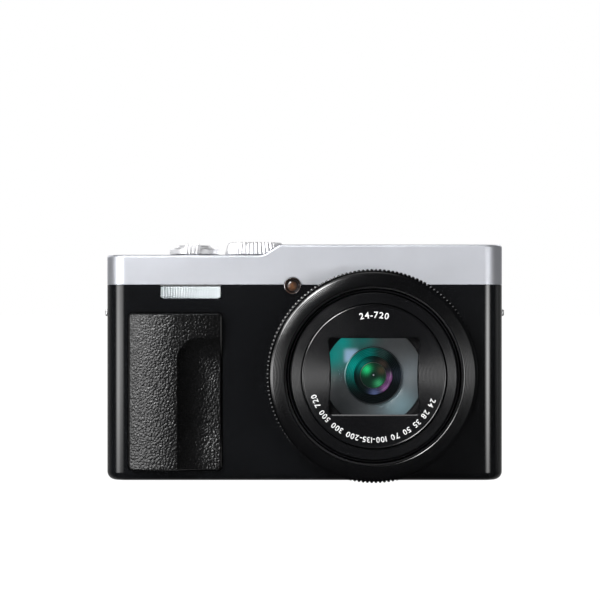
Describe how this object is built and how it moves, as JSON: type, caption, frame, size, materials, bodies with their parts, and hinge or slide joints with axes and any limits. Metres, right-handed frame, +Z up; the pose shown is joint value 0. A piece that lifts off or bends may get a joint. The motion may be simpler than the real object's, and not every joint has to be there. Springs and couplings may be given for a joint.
{
  "type": "compact digital camera",
  "caption": "Compact digital camera with a telescoping zoom lens, sliding lens barrier, control ring, top dials, flip-up rear monitor and hinged battery and port doors.",
  "frame": {"origin": "centre of the base face, half way through the body's thickness", "axes": "-Y the way the lens looks, +X to the right of someone facing the lens, +Z up; the grip is at -X and the lens axis at +X"},
  "size_m": [0.1128, 0.0424, 0.0671],
  "materials": {
    "silver_paint": "satin metallic paint",
    "black_paint": "satin",
    "black_plastic": "fine matt",
    "grip_rubber": "leather grain",
    "dark_metal": "black anodised",
    "bright_metal": "satin",
    "clear_glass": "coated",
    "lamp_glass": "tinted",
    "circuit_board": "solder mask",
    "label_grey": "wrapped label"
  },
  "bodies": {
    "camera_body": {"front_case": "black_paint", "rear_case": "black_paint", "top_cover": "silver_paint", "grip_pad": "grip_rubber", "thumb_rest": "grip_rubber", "usb_port": "bright_metal", "battery_door_pin": "bright_metal", "strap_lug_left": "bright_metal", "strap_lug_right": "bright_metal", "flash_window": "clear_glass", "flash_reflector": "bright_metal", "flash_tube": "clear_glass", "flash_capacitor": "black_plastic", "focus_lamp_bezel": "bright_metal", "focus_lamp_window": "lamp_glass", "lens_base": "black_plastic", "image_sensor": "circuit_board", "zoom_motor": "bright_metal", "monitor_hinge_pin": "bright_metal", "battery": "label_grey", "memory_card": "black_plastic", "main_board": "circuit_board", "tripod_socket": "bright_metal", "base_screw_left": "dark_metal", "base_screw_right": "dark_metal"},
    "control_ring": {"control_ring": "black_plastic"},
    "outer_barrel": {"barrel_outer": "black_plastic"},
    "middle_barrel": {"barrel_middle": "black_plastic"},
    "front_barrel": {"barrel_front": "black_plastic", "lens_front_plate": "black_paint", "lens_retainer": "black_plastic", "front_lens": "clear_glass"},
    "upper_inner_blade": {"blade_upper_inner": "dark_metal"},
    "upper_outer_blade": {"blade_upper_outer": "dark_metal"},
    "lower_inner_blade": {"blade_lower_inner": "dark_metal"},
    "lower_outer_blade": {"blade_lower_outer": "dark_metal"},
    "zoom_group": {"zoom_lens_group": "clear_glass"},
    "focus_group": {"focus_lens_group": "clear_glass"},
    "cam_ring": {"cam_ring": "black_plastic"},
    "zoom_gear": {"zoom_gear": "black_plastic"},
    "shutter_button": {"shutter_button": "silver_paint"},
    "zoom_lever": {"zoom_lever": "silver_paint"},
    "mode_dial": {"mode_dial": "silver_paint"},
    "power_button": {"power_button": "silver_paint"},
    "movie_button": {"movie_button": "silver_paint"},
    "monitor_arm": {"monitor_carrier": "dark_metal"},
    "monitor": {"monitor_back": "black_plastic", "monitor_bezel": "black_plastic", "monitor_glass": "clear_glass", "lcd_panel": "black_plastic"},
    "playback_button": {"playback_button": "black_plastic"},
    "function_button": {"function_button": "black_plastic"},
    "display_button": {"display_button": "black_plastic"},
    "quick_menu_button": {"quick_menu_button": "black_plastic"},
    "control_dial": {"control_dial": "black_plastic"},
    "cursor_pad": {"cursor_pad": "black_plastic"},
    "menu_button": {"menu_button": "black_plastic"},
    "battery_door": {"battery_door": "black_plastic"},
    "battery_door_latch": {"battery_door_latch": "black_plastic"},
    "port_cover": {"port_cover": "black_plastic"}
  },
  "joints": [
    {"name": "control_ring_turn", "type": "hinge", "parent": "camera_body", "child": "control_ring", "pos_m": [0.019, -0.0204, 0.02973], "axis": [0, -1, 0], "continuous": true},
    {"name": "lens_extend", "type": "slide", "parent": "camera_body", "child": "outer_barrel", "axis": [0, -1, 0], "range_m": [0, 0.018]},
    {"name": "middle_barrel_extend", "type": "slide", "parent": "outer_barrel", "child": "middle_barrel", "axis": [0, -1, 0], "range_m": [0, 0.018]},
    {"name": "front_barrel_extend", "type": "slide", "parent": "middle_barrel", "child": "front_barrel", "axis": [0, -1, 0], "range_m": [0, 0.018]},
    {"name": "zoom_group_shift", "type": "slide", "parent": "camera_body", "child": "zoom_group", "axis": [0, -1, 0], "range_m": [0, 0.0306]},
    {"name": "cam_ring_turn", "type": "hinge", "parent": "camera_body", "child": "cam_ring", "pos_m": [0.019, -0.0078, 0.02973], "axis": [0, 1, 0], "range_deg": [0, 80.1]},
    {"name": "zoom_gear_turn", "type": "hinge", "parent": "camera_body", "child": "zoom_gear", "pos_m": [-0.01036, -0.008, 0.01904], "axis": [0, 1, 0], "range_deg": [-544.1, 0]},
    {"name": "focus_shift", "type": "slide", "parent": "camera_body", "child": "focus_group", "axis": [0, -1, 0], "range_m": [0, 0.0025]},
    {"name": "barrier_close", "type": "slide", "parent": "front_barrel", "child": "upper_inner_blade", "axis": [0, 0, -1], "range_m": [0, 0.0106]},
    {"name": "upper_outer_blade_close", "type": "slide", "parent": "front_barrel", "child": "upper_outer_blade", "axis": [0, 0, -1], "range_m": [0, 0.0071]},
    {"name": "lower_inner_blade_close", "type": "slide", "parent": "front_barrel", "child": "lower_inner_blade", "axis": [0, 0, 1], "range_m": [0, 0.0106]},
    {"name": "lower_outer_blade_close", "type": "slide", "parent": "front_barrel", "child": "lower_outer_blade", "axis": [0, 0, 1], "range_m": [0, 0.0071]},
    {"name": "shutter_press", "type": "slide", "parent": "camera_body", "child": "shutter_button", "axis": [0, 0, -1], "range_m": [0, 0.0009], "stiffness_N_per_m": 400},
    {"name": "zoom_lever_turn", "type": "hinge", "parent": "camera_body", "child": "zoom_lever", "pos_m": [-0.0314, -0.004, 0.0645], "axis": [0, 0, 1], "range_deg": [-22, 22]},
    {"name": "mode_dial_turn", "type": "hinge", "parent": "camera_body", "child": "mode_dial", "pos_m": [-0.0142, 0.0025, 0.065], "axis": [0, 0, 1], "continuous": true},
    {"name": "power_press", "type": "slide", "parent": "camera_body", "child": "power_button", "axis": [0, 0, -1], "range_m": [0, 0.0004], "stiffness_N_per_m": 400},
    {"name": "movie_press", "type": "slide", "parent": "camera_body", "child": "movie_button", "axis": [0, 0, -1], "range_m": [0, 0.0004], "stiffness_N_per_m": 400},
    {"name": "monitor_tilt", "type": "hinge", "parent": "camera_body", "child": "monitor_arm", "pos_m": [0, 0.0125, 0.053], "axis": [1, 0, 0], "range_deg": [0, 180]},
    {"name": "monitor_slide", "type": "slide", "parent": "monitor_arm", "child": "monitor", "axis": [0, 0, -1], "range_m": [0, 0.013]},
    {"name": "playback_press", "type": "slide", "parent": "camera_body", "child": "playback_button", "axis": [0, -1, 0], "range_m": [0, 0.0004], "stiffness_N_per_m": 400},
    {"name": "function_press", "type": "slide", "parent": "camera_body", "child": "function_button", "axis": [0, -1, 0], "range_m": [0, 0.0004], "stiffness_N_per_m": 400},
    {"name": "display_press", "type": "slide", "parent": "camera_body", "child": "display_button", "axis": [0, -1, 0], "range_m": [0, 0.0004], "stiffness_N_per_m": 400},
    {"name": "quick_menu_press", "type": "slide", "parent": "camera_body", "child": "quick_menu_button", "axis": [0, -1, 0], "range_m": [0, 0.0004], "stiffness_N_per_m": 400},
    {"name": "control_dial_turn", "type": "hinge", "parent": "camera_body", "child": "control_dial", "pos_m": [-0.0373, 0.0125, 0.022], "axis": [0, 1, 0], "continuous": true},
    {"name": "cursor_press", "type": "slide", "parent": "camera_body", "child": "cursor_pad", "axis": [0, -1, 0], "range_m": [0, 0.0003], "stiffness_N_per_m": 400},
    {"name": "menu_press", "type": "slide", "parent": "camera_body", "child": "menu_button", "axis": [0, -1, 0], "range_m": [0, 0.0004], "stiffness_N_per_m": 400},
    {"name": "battery_door_open", "type": "hinge", "parent": "camera_body", "child": "battery_door", "pos_m": [-0.0345, -0.0104, 0.0009], "axis": [-1, 0, 0], "range_deg": [0, 90]},
    {"name": "battery_door_unlatch", "type": "slide", "parent": "battery_door", "child": "battery_door_latch", "axis": [1, 0, 0], "range_m": [0, 0.0022]},
    {"name": "port_cover_open", "type": "hinge", "parent": "camera_body", "child": "port_cover", "pos_m": [-0.0552, 0.00685, 0.025], "axis": [0, 0, -1], "range_deg": [0, 95]}
  ],
  "couplings": [
    {"joint": "middle_barrel_extend", "follows": "lens_extend", "ratio": 1},
    {"joint": "front_barrel_extend", "follows": "lens_extend", "ratio": 1},
    {"joint": "zoom_group_shift", "follows": "lens_extend", "ratio": 1.7},
    {"joint": "cam_ring_turn", "follows": "lens_extend", "rad_per_m": 77.57},
    {"joint": "zoom_gear_turn", "follows": "lens_extend", "rad_per_m": -527.48},
    {"joint": "upper_outer_blade_close", "follows": "barrier_close", "ratio": 0.668},
    {"joint": "lower_inner_blade_close", "follows": "barrier_close", "ratio": 1},
    {"joint": "lower_outer_blade_close", "follows": "barrier_close", "ratio": 0.668},
    {"joint": "monitor_slide", "follows": "monitor_tilt", "m_per_rad": 0.004138}
  ]
}
